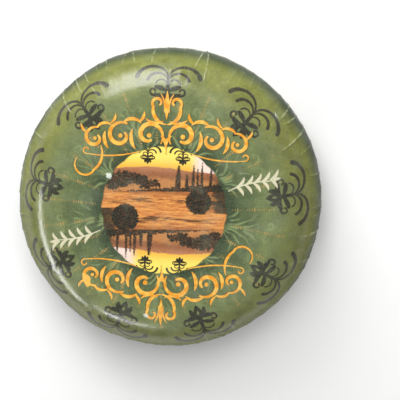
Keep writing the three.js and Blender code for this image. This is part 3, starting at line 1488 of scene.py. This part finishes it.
@dataclass(frozen=True)
class FilmFinish(Finish):
    """Thin satin film, printed on its underside.

    Attributes:
        turn: How far the print was turned about the wheel's axis, in radians clockwise.
        roughness: Of the film.
        dullest: The film's specular level where it has the least gloss.
        rings: Where the print and the gloss change.
        core: The dark green about the picture.
        moss: The green of the face.
        leaf: The fresher green of the face's edge.
        olive: The lighter green of the shoulder.
        bottle: The dark green of the side.
        black: The ink of the palmettes.
        gold: The ink of the scrolls.
        gold_light: Its lighter strokes.
        cast: The shade that is printed beside the scrolls.
        cream: The ink of the sprigs.
        blade: The pale green of the grass.
        bead: The ink of the bead rows.
        crease: The pale of the creases: partly film whitened by a fold, partly painted highlight.
        haze: The milky tone of the film's own clouding.
        scuff_and_glint_white: White for one worn scuff and for painted highlights on two bubbles.
        gold_blotch: A small pale gold blotch with a ragged edge, low on the left.
        scuffs_and_glints: Where that white lies: one worn scuff, and painted highlights on two
            bubbles.
    """

    name: ClassVar[str] = "printed film"
    turn: float = 0.036
    roughness: float = 0.16
    dullest: float = 0.12
    rings: FilmRings = FilmRings()
    core: Colour = tone(58, 70, 50)
    moss: Colour = tone(88, 101, 68)
    leaf: Colour = tone(110, 120, 76)
    olive: Colour = tone(114, 118, 57)
    bottle: Colour = tone(46, 58, 31)
    black: Colour = tone(42, 38, 34)
    gold: Colour = tone(226, 150, 40)
    gold_light: Colour = tone(250, 190, 84)
    cast: Colour = tone(48, 46, 26)
    cream: Colour = tone(226, 218, 186)
    blade: Colour = tone(142, 158, 106)
    bead: Colour = tone(186, 146, 82)
    # Partly painted highlight: film whitened along the folds, and light caught along them.
    crease: Colour = tone(188, 194, 152)
    haze: Colour = tone(156, 166, 142)
    # White for one worn scuff, and painted highlights on two bubbles.
    scuff_and_glint_white: Colour = tone(208, 214, 204)
    # A small pale gold blotch with a ragged edge.
    gold_blotch: ClassVar[Stroke] = sweep((-89.0, -78.0), (-84.0, -91.0), 1.2, 1.2, 4.4, 2.0)
    scuffs_and_glints: ClassVar[tuple[Stroke, ...]] = (
        # Painted highlight: a white glint on the bubble here.
        sweep((-64.5, 38.5), (-60.5, 34.0), 0.4, 1.2, 3.2, 1.0),
        # A real worn white scuff.
        sweep((124.0, 118.5), (127.0, 112.5), -1.2, 0.2, 1.2, 0.2),
        # Painted highlight: a white glint on a small bubble.
        sweep((-19.5, -122.0), (-14.5, -125.0), 0.6, 0.6, 2.4, 0.6),
    )

    def dress(self, graph: Graph, shader: bpy.types.Node) -> None:
        """Lays the inks over the ground colour, and gives the film its gloss and wrinkles."""
        sheet = graph.add("ShaderNodeUVMap", uv_map=SHEET_MAP).outputs["UV"]
        place = graph.turned(sheet, self.turn)
        colour = self._ground(graph, place)
        colour = self._grass(graph, place, colour)
        colour = self._bead_rows(graph, place, colour)
        picture = Picture().on(graph, Sheet=place)
        colour = graph.blend(picture["Mask"], colour, picture["Colour"])
        colour = self._palmettes(graph, place, colour)
        colour = self._scrolls(graph, place, colour)
        colour = self._clouding(graph, place, colour)
        # Pale along the creases: partly film whitened by the folds, partly a painted highlight
        # along them.
        creased = graph.add("ShaderNodeAttribute", attribute_name=CREASE).outputs["Fac"]
        patchy_pale = graph.ramp(graph.noise(place, 0.09, 3.0), 0.36, 0.6, 0.5)
        whitened_and_glinting = graph.math("MULTIPLY", graph.ramp(creased, 0.16, 0.8), patchy_pale)
        out = graph.vector("LENGTH", place)
        crease_pale_and_highlight = graph.math("MULTIPLY", whitened_and_glinting, graph.ramp(out, *self.rings.creases))
        colour = graph.blend(crease_pale_and_highlight, colour, self.crease)
        graph.feed(shader.inputs["Base Color"], colour)
        self._gloss(graph, place, creased, shader)

    def _ground(self, graph: Graph, place: Socket) -> Socket:
        """Returns the green ground, which runs from dark to olive to dark again outward."""
        out = graph.vector("LENGTH", place)
        patches = Mottle().on(graph, Place=place, Scale=0.05, Amount=1.15)
        wander = graph.math("MULTIPLY_ADD", patches["Shade"], 30.0, -30.0)
        edge = graph.math("ADD", out, wander)
        green = graph.blend(graph.ramp(out, *self.rings.moss), self.core, self.moss)
        green = graph.blend(graph.ramp(edge, *self.rings.leaf), green, self.leaf)
        green = graph.blend(graph.ramp(edge, *self.rings.olive), green, self.olive)
        rim = graph.math("MULTIPLY_ADD", patches["Shade"], 14.0, out)
        green = graph.blend(graph.ramp(rim, *self.rings.bottle), green, self.bottle)
        return graph.shaded(green, patches["Shade"])

    def _grass(self, graph: Graph, place: Socket, under: Socket) -> Socket:
        """Returns the colour with nine faint tufts of grass laid over it."""
        sway = graph.add("ShaderNodeTexNoise", {"Vector": place, "Scale": 0.04, "Detail": 2.0})
        swayed = graph.vector("MULTIPLY_ADD", sway.outputs["Color"], (14.0, 14.0, 0.0), place)
        moved = graph.vector("SUBTRACT", swayed, (7.0, 7.0, 0.0))
        sector = Sector().on(graph, Sheet=moved, Count=9.0, Turn=math.pi / 9)["Place"]
        tuft = GrassTuft().on(graph, Place=sector)["Distance"]
        mask = Ink().on(graph, Sheet=place, Distance=tuft, Softness=1.0)["Mask"]
        worn = graph.ramp(graph.noise(place, 0.07, 2.0), 0.35, 0.62, 0.72)
        return graph.blend(graph.math("MULTIPLY", mask, worn), under, self.blade)

    def _bead_rows(self, graph: Graph, place: Socket, under: Socket) -> Socket:
        """Returns the colour with rows of fine gold bars laid over it."""
        row = Sector().on(graph, Sheet=place, Count=27.0, Turn=0.11)["Place"]
        mask = Beads().on(graph, Place=row, Start=76.0, End=138.0)["Mask"]
        worn = graph.ramp(graph.noise(place, 0.05, 3.0), 0.36, 0.62, 0.8)
        return graph.blend(graph.math("MULTIPLY", mask, worn), under, self.bead)

    def _palmettes(self, graph: Graph, place: Socket, under: Socket) -> Socket:
        """Returns the colour with nine black palmettes laid over it, each with a pale eye."""
        sector = Sector().on(graph, Sheet=place, Count=9.0)["Place"]
        flower = Palmette().on(graph, Place=sector)["Distance"]
        eye = sweep((0.0, 126.6), (0.0, 121.4), 0.0, 0.1, 1.3, 0.1).on(graph, sector)
        inked = graph.math("MAXIMUM", flower, graph.math("MULTIPLY", eye, -1.0))
        mask = Ink().on(graph, Sheet=place, Distance=inked, Softness=0.5)["Mask"]
        return graph.blend(graph.math("MULTIPLY", mask, 0.93), under, self.black)

    def _scrolls(self, graph: Graph, place: Socket, under: Socket) -> Socket:
        """Returns the colour with the gold scrolls and the cream sprigs laid over it."""
        half = graph.headed(place)
        scroll = Scrollwork().on(graph, Place=half)["Distance"]
        beside = graph.vector("ADD", half, (-0.9, 0.5, 0.0))
        shaded = Scrollwork().on(graph, Place=beside)["Distance"]
        shadow = Ink().on(graph, Sheet=place, Distance=shaded, Softness=0.9)["Mask"]
        colour = graph.blend(graph.math("MULTIPLY", shadow, 0.7), under, self.cast)
        mask = Ink().on(graph, Sheet=place, Distance=scroll, Softness=0.35)["Mask"]
        tint = graph.ramp(graph.noise(place, 0.14, 2.0), 0.35, 0.65)
        colour = graph.blend(mask, colour, graph.blend(tint, self.gold, self.gold_light))
        # A small pale gold blotch with a ragged edge, low on the left.
        blotch_distance = self.gold_blotch.on(graph, place)
        ragged = graph.math("MULTIPLY_ADD", graph.noise(place, 0.4, 3.0), 3.0, blotch_distance)
        colour = graph.blend(graph.ramp(ragged, 1.8, 1.2, 0.9), colour, self.gold_light)
        sprig = Sprig().on(graph, Place=half)["Distance"]
        drawn = Ink().on(graph, Sheet=place, Distance=sprig, Softness=0.35)["Mask"]
        return graph.blend(graph.math("MULTIPLY", drawn, 0.85), colour, self.cream)

    def _clouding(self, graph: Graph, place: Socket, under: Socket) -> Socket:
        """Returns the colour under milky clouds, with a worn white scuff and painted highlights."""
        clouds = graph.ramp(graph.noise(place, 0.028, 6.0, 0.66), 0.44, 0.74, 0.2)
        out = graph.vector("LENGTH", place)
        facing = graph.math("ADD", graph.ramp(out, *self.rings.clouds, 0.7), 0.3)
        clouds = graph.math("MULTIPLY", clouds, facing)
        dust = graph.ramp(graph.noise(place, 0.55, 4.0, 0.7), 0.44, 0.72, 0.16)
        colour = graph.blend(graph.math("ADD", clouds, dust), under, self.haze)
        # White marks: painted highlights on two bubbles, and one real worn scuff.
        near = nearest(graph, place, self.scuffs_and_glints)
        ragged = graph.math("MULTIPLY_ADD", graph.noise(place, 0.45, 3.0, 0.7), 5.0, near)
        return graph.blend(graph.ramp(ragged, 3.0, 1.4, 0.85), colour, self.scuff_and_glint_white)

    def _gloss(
        self, graph: Graph, place: Socket, creased: Socket, shader: bpy.types.Node
    ) -> None:
        """Sets the film's gloss, and roughens it with fine wrinkles that run outward."""
        out = graph.vector("LENGTH", place)
        smears = graph.math(
            "MULTIPLY",
            graph.ramp(graph.noise(place, 0.05, 4.0), 0.35, 0.68, 0.12),
            graph.ramp(out, *self.rings.smears),
        )
        crinkles = graph.ramp(out, *self.rings.crinkles)
        crinkled = graph.math("MULTIPLY_ADD", crinkles, 0.14, smears)
        satin = graph.math("ADD", graph.ramp(out, *self.rings.satin, 0.4), self.roughness)
        graph.feed(shader.inputs["Roughness"], graph.math("ADD", crinkled, satin))
        shine = graph.math("ADD", graph.ramp(out, *self.rings.sheen, 0.68), self.dullest)
        shine = graph.math("SUBTRACT", shine, graph.ramp(out, *self.rings.rim, 0.76))
        shine = graph.math("ADD", shine, graph.ramp(out, *self.rings.side, 0.36))
        graph.feed(shader.inputs["Specular IOR Level"], shine)
        x, y = graph.split(place)
        angle = graph.math("ARCTAN2", x, y)
        radial = graph.joined(
            graph.math("MULTIPLY", graph.math("SINE", angle), 60.0),
            graph.math("MULTIPLY", graph.math("COSINE", angle), 60.0),
            graph.math("MULTIPLY", out, 0.05),
        )
        wrinkles = graph.noise(radial, 0.35, 3.0, 0.6)
        wrinkled = graph.math("MULTIPLY", wrinkles, graph.ramp(out, *self.rings.wrinkles))
        grain = FineGrain().on(graph, Place=place, Scale=0.3, Pitting=0.1)["Height"]
        height = graph.math("MULTIPLY_ADD", wrinkled, 4.5, grain)
        height = graph.math("MULTIPLY_ADD", creased, 4.0, height)
        graph.bump(shader, height, 0.4, 0.0003)


@dataclass(frozen=True)
class RindFinish(Finish):
    """The dried rind of a semi-hard cheese, golden brown and half matte.

    Attributes:
        gold: The rind's main colour.
        straw: Its paler patches.
        brown: Its darker blotches.
        roughness: Of the rind.
    """

    name: ClassVar[str] = "cheese rind"
    gold: Colour = tone(214, 164, 88)
    straw: Colour = tone(232, 196, 128)
    brown: Colour = tone(160, 104, 48)
    roughness: float = 0.5

    def dress(self, graph: Graph, shader: bpy.types.Node) -> None:
        """Blends the rind's tones, and roughens it with grain, pits and a cloth's weave."""
        place = graph.add("ShaderNodeTexCoord").outputs["Object"]
        fine = graph.scaled(place, 1 / MILLIMETRE)
        patches = Mottle().on(graph, Place=fine, Scale=0.03, Amount=0.5)
        blotches = Mottle().on(graph, Place=fine, Scale=0.11, Amount=0.3)
        colour = graph.blend(patches["Patch"], self.gold, self.straw)
        stain = graph.math("MULTIPLY", blotches["Patch"], 0.4)
        colour = graph.blend(stain, colour, self.brown)
        shade = graph.math("MULTIPLY", patches["Shade"], blotches["Shade"])
        graph.feed(shader.inputs["Base Color"], graph.shaded(colour, shade))
        worn = graph.math("MULTIPLY_ADD", blotches["Shade"], 0.15, self.roughness - 0.15)
        graph.feed(shader.inputs["Roughness"], worn)
        grain = FineGrain().on(graph, Place=fine, Scale=0.4, Pitting=0.6)["Height"]
        height = graph.math("MULTIPLY_ADD", self._weave(graph, fine), 0.35, grain)
        graph.bump(shader, height, 0.7, 0.0006)

    @staticmethod
    def _weave(graph: Graph, fine: Socket) -> Socket:
        """Returns the faint print of a pressing cloth, two threads to every 1.5 mm."""
        turn_per_millimetre = 4.2
        x, y = graph.split(fine)
        across = graph.math("SINE", graph.math("MULTIPLY", x, turn_per_millimetre))
        along = graph.math("SINE", graph.math("MULTIPLY", y, turn_per_millimetre))
        return graph.math("MULTIPLY", across, along)


@dataclass(frozen=True)
class FloorFinish(Finish):
    """A plain pale paper sweep.

    Attributes:
        pale: Its colour.
        roughness: Of the paper.
        specular: Its specular level.
    """

    name: ClassVar[str] = "pale paper"
    pale: Colour = tone(246, 246, 245)
    roughness: float = 0.9
    specular: float = 0.1

    def dress(self, graph: Graph, shader: bpy.types.Node) -> None:
        """Gives the paper a barely uneven tone."""
        place = graph.add("ShaderNodeTexCoord").outputs["Object"]
        soft = Mottle().on(graph, Place=place, Scale=3.0, Amount=0.02)["Shade"]
        graph.feed(shader.inputs["Base Color"], graph.shaded(self.pale, soft))
        shader.inputs["Roughness"].default_value = self.roughness
        shader.inputs["Specular IOR Level"].default_value = self.specular


# ---------------------------------------------------------------------------------------------
# The wheel's pieces
# ---------------------------------------------------------------------------------------------


@dataclass(frozen=True)
class Wrapping:
    """The printed film over the wheel's face, shoulder and side.

    Attributes:
        outline: The wheel's outline.
        body_shape: What is uneven in the cheese below, which the film follows.
        thickness: Of the film.
        edge_wander: How far its lower edge strays from a true circle.
        hem: The length of the lowest stretch, which strays with the edge.
        hem_count: How many points each of its rings has.
        blisters: Bubbles and dents in the film alone.
    """

    outline: WheelOutline
    body_shape: Together
    thickness: float = 0.0005
    edge_wander: float = 0.0012
    hem: float = 0.006
    hem_count: int = 1440
    blisters: tuple[Blister, ...] = (
        Blister((-62.0, 37.0), 4.6, 0.0022, 1.3, 0.5),
        Blister((-65.0, 45.0), 2.6, -0.0007, 1.4, 0.9),
        Blister((-77.0, -69.0), 4.2, 0.0014, 1.5, -0.9),
        Blister((-8.0, -113.0), 3.6, 0.0010, 1.2, 0.2),
        Blister((34.0, 126.0), 3.2, 0.0004, 1.6, 1.1),
        Blister((122.0, 96.0), 4.2, 0.0005, 1.4, 0.8),
        Blister((-121.0, -70.0), 5.0, -0.0006, 1.2, 0.3),
        Blister((58.0, -96.0), 4.4, -0.0004, 1.5, 2.0),
    )

    def build(self) -> bpy.types.Object:
        """Builds the film as a closed shell.

        Returns:
            The film, dressed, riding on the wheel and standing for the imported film.
        """
        pleats = Pleats()
        outside = Together((self.body_shape, *self.blisters, pleats))
        inside = Together((self.body_shape,), offset=-self.thickness)
        edge = self.outline.film_edge
        skin = Skin(self.outline)
        pole = skin.ring(0.0, 1, outside)
        lowest = skin.bands(
            0.0,
            (
                Band(0.008, 0.002, 45),
                Band(0.020, 0.003, 90),
                Band(0.045, 0.004, 180),
                Band(0.090, 0.0026, 360),
                Band(self.outline.face_radius, 0.0023, 720),
                Band(edge - self.hem, 0.0034, self.hem_count),
            ),
            outside,
            Patch.SHOWN,
            pole,
        )
        angle = np.arange(self.hem_count) * (2 * math.pi / self.hem_count)
        stray = self.edge_wander * (np.sin(17 * angle) * 0.5 + np.sin(29 * angle + 1) * 0.5)
        for share in (0.5, 1.0):
            path = edge - self.hem * (1 - share) + stray * share
            ring = skin.ring(path, self.hem_count, outside)
            skin.join(lowest, ring, Patch.SHOWN)
            lowest = ring
        turned = skin.ring(edge + stray, self.hem_count, inside)
        skin.join(lowest, turned, Patch.SHOWN)
        last = skin.bands(
            edge,
            (
                Band(edge - 0.004, 0.004, 720),
                Band(self.outline.face_radius, 0.0045, 360),
                Band(0.060, 0.006, 180),
                Band(0.030, 0.006, 90),
                Band(0.008, 0.006, 45),
            ),
            inside,
            Patch.HIDDEN,
            turned,
        )
        skin.join(last, skin.ring(0.0, 1, inside), Patch.HIDDEN)
        film = skin.made("pleated_film", hidden_from_base=False)
        skin.mark(film, CREASE, pleats.crease)
        FilmFinish().wear(film)
        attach(film, "root")
        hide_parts("printed_film")
        return film


@dataclass(frozen=True)
class Cheese:
    """The cheese with its rind, bare only on its base and lower corner.

    Attributes:
        outline: The wheel's outline.
        body_shape: What is uneven in it.
        covered_offset: How far it lies in under the film.
        overlap: How far above the film's edge its fine rings begin.
    """

    outline: WheelOutline
    body_shape: Together
    covered_offset: float = -0.0009
    overlap: float = 0.006

    def build(self) -> bpy.types.Object:
        """Builds the cheese as a closed body.

        Returns:
            The cheese, dressed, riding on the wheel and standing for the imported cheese.
        """
        edge = self.outline.film_edge
        base = self.outline.length - self.outline.base_radius
        grain = RindGrain(self.covered_offset, edge, base)
        relief = Together((self.body_shape, grain))
        skin = Skin(self.outline)
        pole = skin.ring(0.0, 1, relief)
        covered = skin.bands(
            0.0,
            (
                Band(0.010, 0.005, 30),
                Band(0.030, 0.005, 60),
                Band(0.060, 0.006, 120),
                Band(edge - self.overlap, 0.005, 240),
            ),
            relief,
            Patch.HIDDEN,
            pole,
        )
        end = self.outline.length
        bare = skin.bands(
            edge - self.overlap,
            (
                Band(base + 0.012, 0.0012, 480),
                Band(end - 0.090, 0.003, 480),
                Band(end - 0.045, 0.004, 240),
                Band(end - 0.020, 0.004, 120),
                Band(end - 0.008, 0.003, 60),
                Band(end - 0.003, 0.003, 30),
            ),
            relief,
            Patch.SHOWN,
            covered,
        )
        skin.join(bare, skin.ring(end, 1, relief), Patch.SHOWN)
        cheese = skin.made("cheese_with_rind", hidden_from_base=True)
        RindFinish().wear(cheese)
        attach(cheese, "root")
        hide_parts("cheese_body")
        return cheese


# ---------------------------------------------------------------------------------------------
# The studio
# ---------------------------------------------------------------------------------------------


@dataclass(frozen=True)
class Softbox:
    """One soft light, aimed at the wheel.

    Attributes:
        name: Its name.
        azimuth: Its direction from the wheel about the axis, in degrees from +X.
        elevation: Its height above the floor, in degrees.
        distance: From the wheel.
        size: Its width and height.
        power: In watts.
        roll: How far it is turned about its own middle, in degrees.
        mirrored: Whether glossy things show it.
        lights: Whether it lights dull things.
    """

    name: str
    azimuth: float
    elevation: float
    distance: float
    size: Flat
    power: float
    roll: float = 0.0
    mirrored: bool = True
    lights: bool = True

    def place(self, aim: Vector) -> bpy.types.Object:
        """Places the light.

        Args:
            aim: The point that it faces.

        Returns:
            The light.
        """
        turn, rise = math.radians(self.azimuth), math.radians(self.elevation)
        towards = Vector(
            (math.cos(rise) * math.cos(turn), math.cos(rise) * math.sin(turn), math.sin(rise))
        )
        light = bpy.data.lights.new(self.name, "AREA")
        light.shape = "RECTANGLE"
        light.size, light.size_y = self.size
        light.energy = self.power
        made = bpy.data.objects.new(self.name, light)
        made.visible_glossy = self.mirrored
        made.visible_diffuse = self.lights
        made.location = aim + towards * self.distance
        rolled = Quaternion((0.0, 0.0, 1.0), math.radians(self.roll))
        made.rotation_euler = (towards.to_track_quat("Z", "Y") @ rolled).to_euler()
        bpy.context.scene.collection.objects.link(made)
        return made


@dataclass(frozen=True)
class Studio:
    """The pale floor, the lights and the camera.

    Attributes:
        aim: The point of the wheel that the camera and the lights are set out from.
        tilt: How far the camera leans from straight above, towards +X and +Y, in degrees.
        distance: From the camera to the aim.
        offset: How far the middle of the view lies from the aim, to the right and up.
        lens: The camera's focal length, in millimetres.
        sensor: The width of its sensor, in millimetres.
        floor_size: The width of the floor.
        room_light: The strength of the room's own light.
        softboxes: The lights.
    """

    aim: Vector
    tilt: Flat = (4.65, 12.4)
    distance: float = 1.5
    offset: Flat = (0.0353, -0.00125)
    lens: float = 116.5
    sensor: float = 36.0
    floor_size: float = 8.0
    room_light: float = 0.26
    softboxes: tuple[Softbox, ...] = (
        Softbox("key_softbox", 107.0, 25.0, 1.8, (1.05, 1.5), 30.0),
        Softbox("left_strip", 211.0, 25.0, 1.6, (1.35, 0.25), 10.5, -26.0, lights=False),
        Softbox("low_glint", 248.0, 31.0, 1.6, (0.46, 0.2), 3.0, 20.0, lights=False),
        Softbox("overhead_softbox", 82.0, 60.0, 2.6, (1.6, 1.4), 43.0, mirrored=False),
        Softbox("fill_softbox", 252.0, 42.0, 2.4, (1.6, 1.2), 13.0, mirrored=False),
    )

    def set_up(self) -> None:
        """Places everything."""
        self._floor()
        self._camera()
        self._world()
        for softbox in self.softboxes:
            softbox.place(self.aim)
        bpy.context.scene.view_settings.view_transform = "Standard"

    def _floor(self) -> None:
        """Lays the floor."""
        half = self.floor_size / 2
        corners = [(-half, -half, 0.0), (half, -half, 0.0), (half, half, 0.0), (-half, half, 0.0)]
        mesh = bpy.data.meshes.new("floor")
        mesh.from_pydata(corners, [], [(0, 1, 2, 3)])
        floor = bpy.data.objects.new("floor", mesh)
        bpy.context.scene.collection.objects.link(floor)
        FloorFinish().wear(floor)

    def _camera(self) -> None:
        """Sets the camera up, looking down on the face with the print the right way up."""
        across, back = (math.tan(math.radians(lean)) for lean in self.tilt)
        towards = Vector((across, back, 1)).normalized()
        right = Vector((0, 1, 0)).cross(towards).normalized()
        up = towards.cross(right)
        middle = self.aim + right * self.offset[0] + up * self.offset[1]
        camera = bpy.data.cameras.new("camera")
        camera.lens = self.lens
        camera.sensor_width = self.sensor
        made = bpy.data.objects.new("camera", camera)
        made.location = middle + towards * self.distance
        made.rotation_euler = Matrix((right, up, towards)).transposed().to_euler()
        bpy.context.scene.collection.objects.link(made)
        bpy.context.scene.camera = made

    def _world(self) -> None:
        """Fills the room with a low, even light."""
        world = bpy.data.worlds.new("room")
        world.use_nodes = True
        sky = world.node_tree.nodes["Background"]
        sky.inputs["Color"].default_value = (1.0, 1.0, 1.0, 1.0)
        sky.inputs["Strength"].default_value = self.room_light
        bpy.context.scene.world = world


def main() -> None:
    """Builds the wheel and its studio."""
    logging.basicConfig(level=logging.INFO, format="%(name)s: %(message)s")
    low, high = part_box("printed_film")
    outline = WheelOutline(radius=(high.x - low.x) / 2, height=high.z)
    slump = Slump(
        side_depth=0.0009, face_depth=0.00035, face_wave=0.16, settled_path=outline.film_edge
    )
    shape = Together((slump,))
    for piece in (Cheese(outline, shape).build(), Wrapping(outline, shape).build()):
        LOG.info("%s has %d faces", piece.name, len(piece.data.polygons))
    Studio(aim=Vector((0.0, 0.0, 0.06))).set_up()


if __name__ == "__main__":
    main()
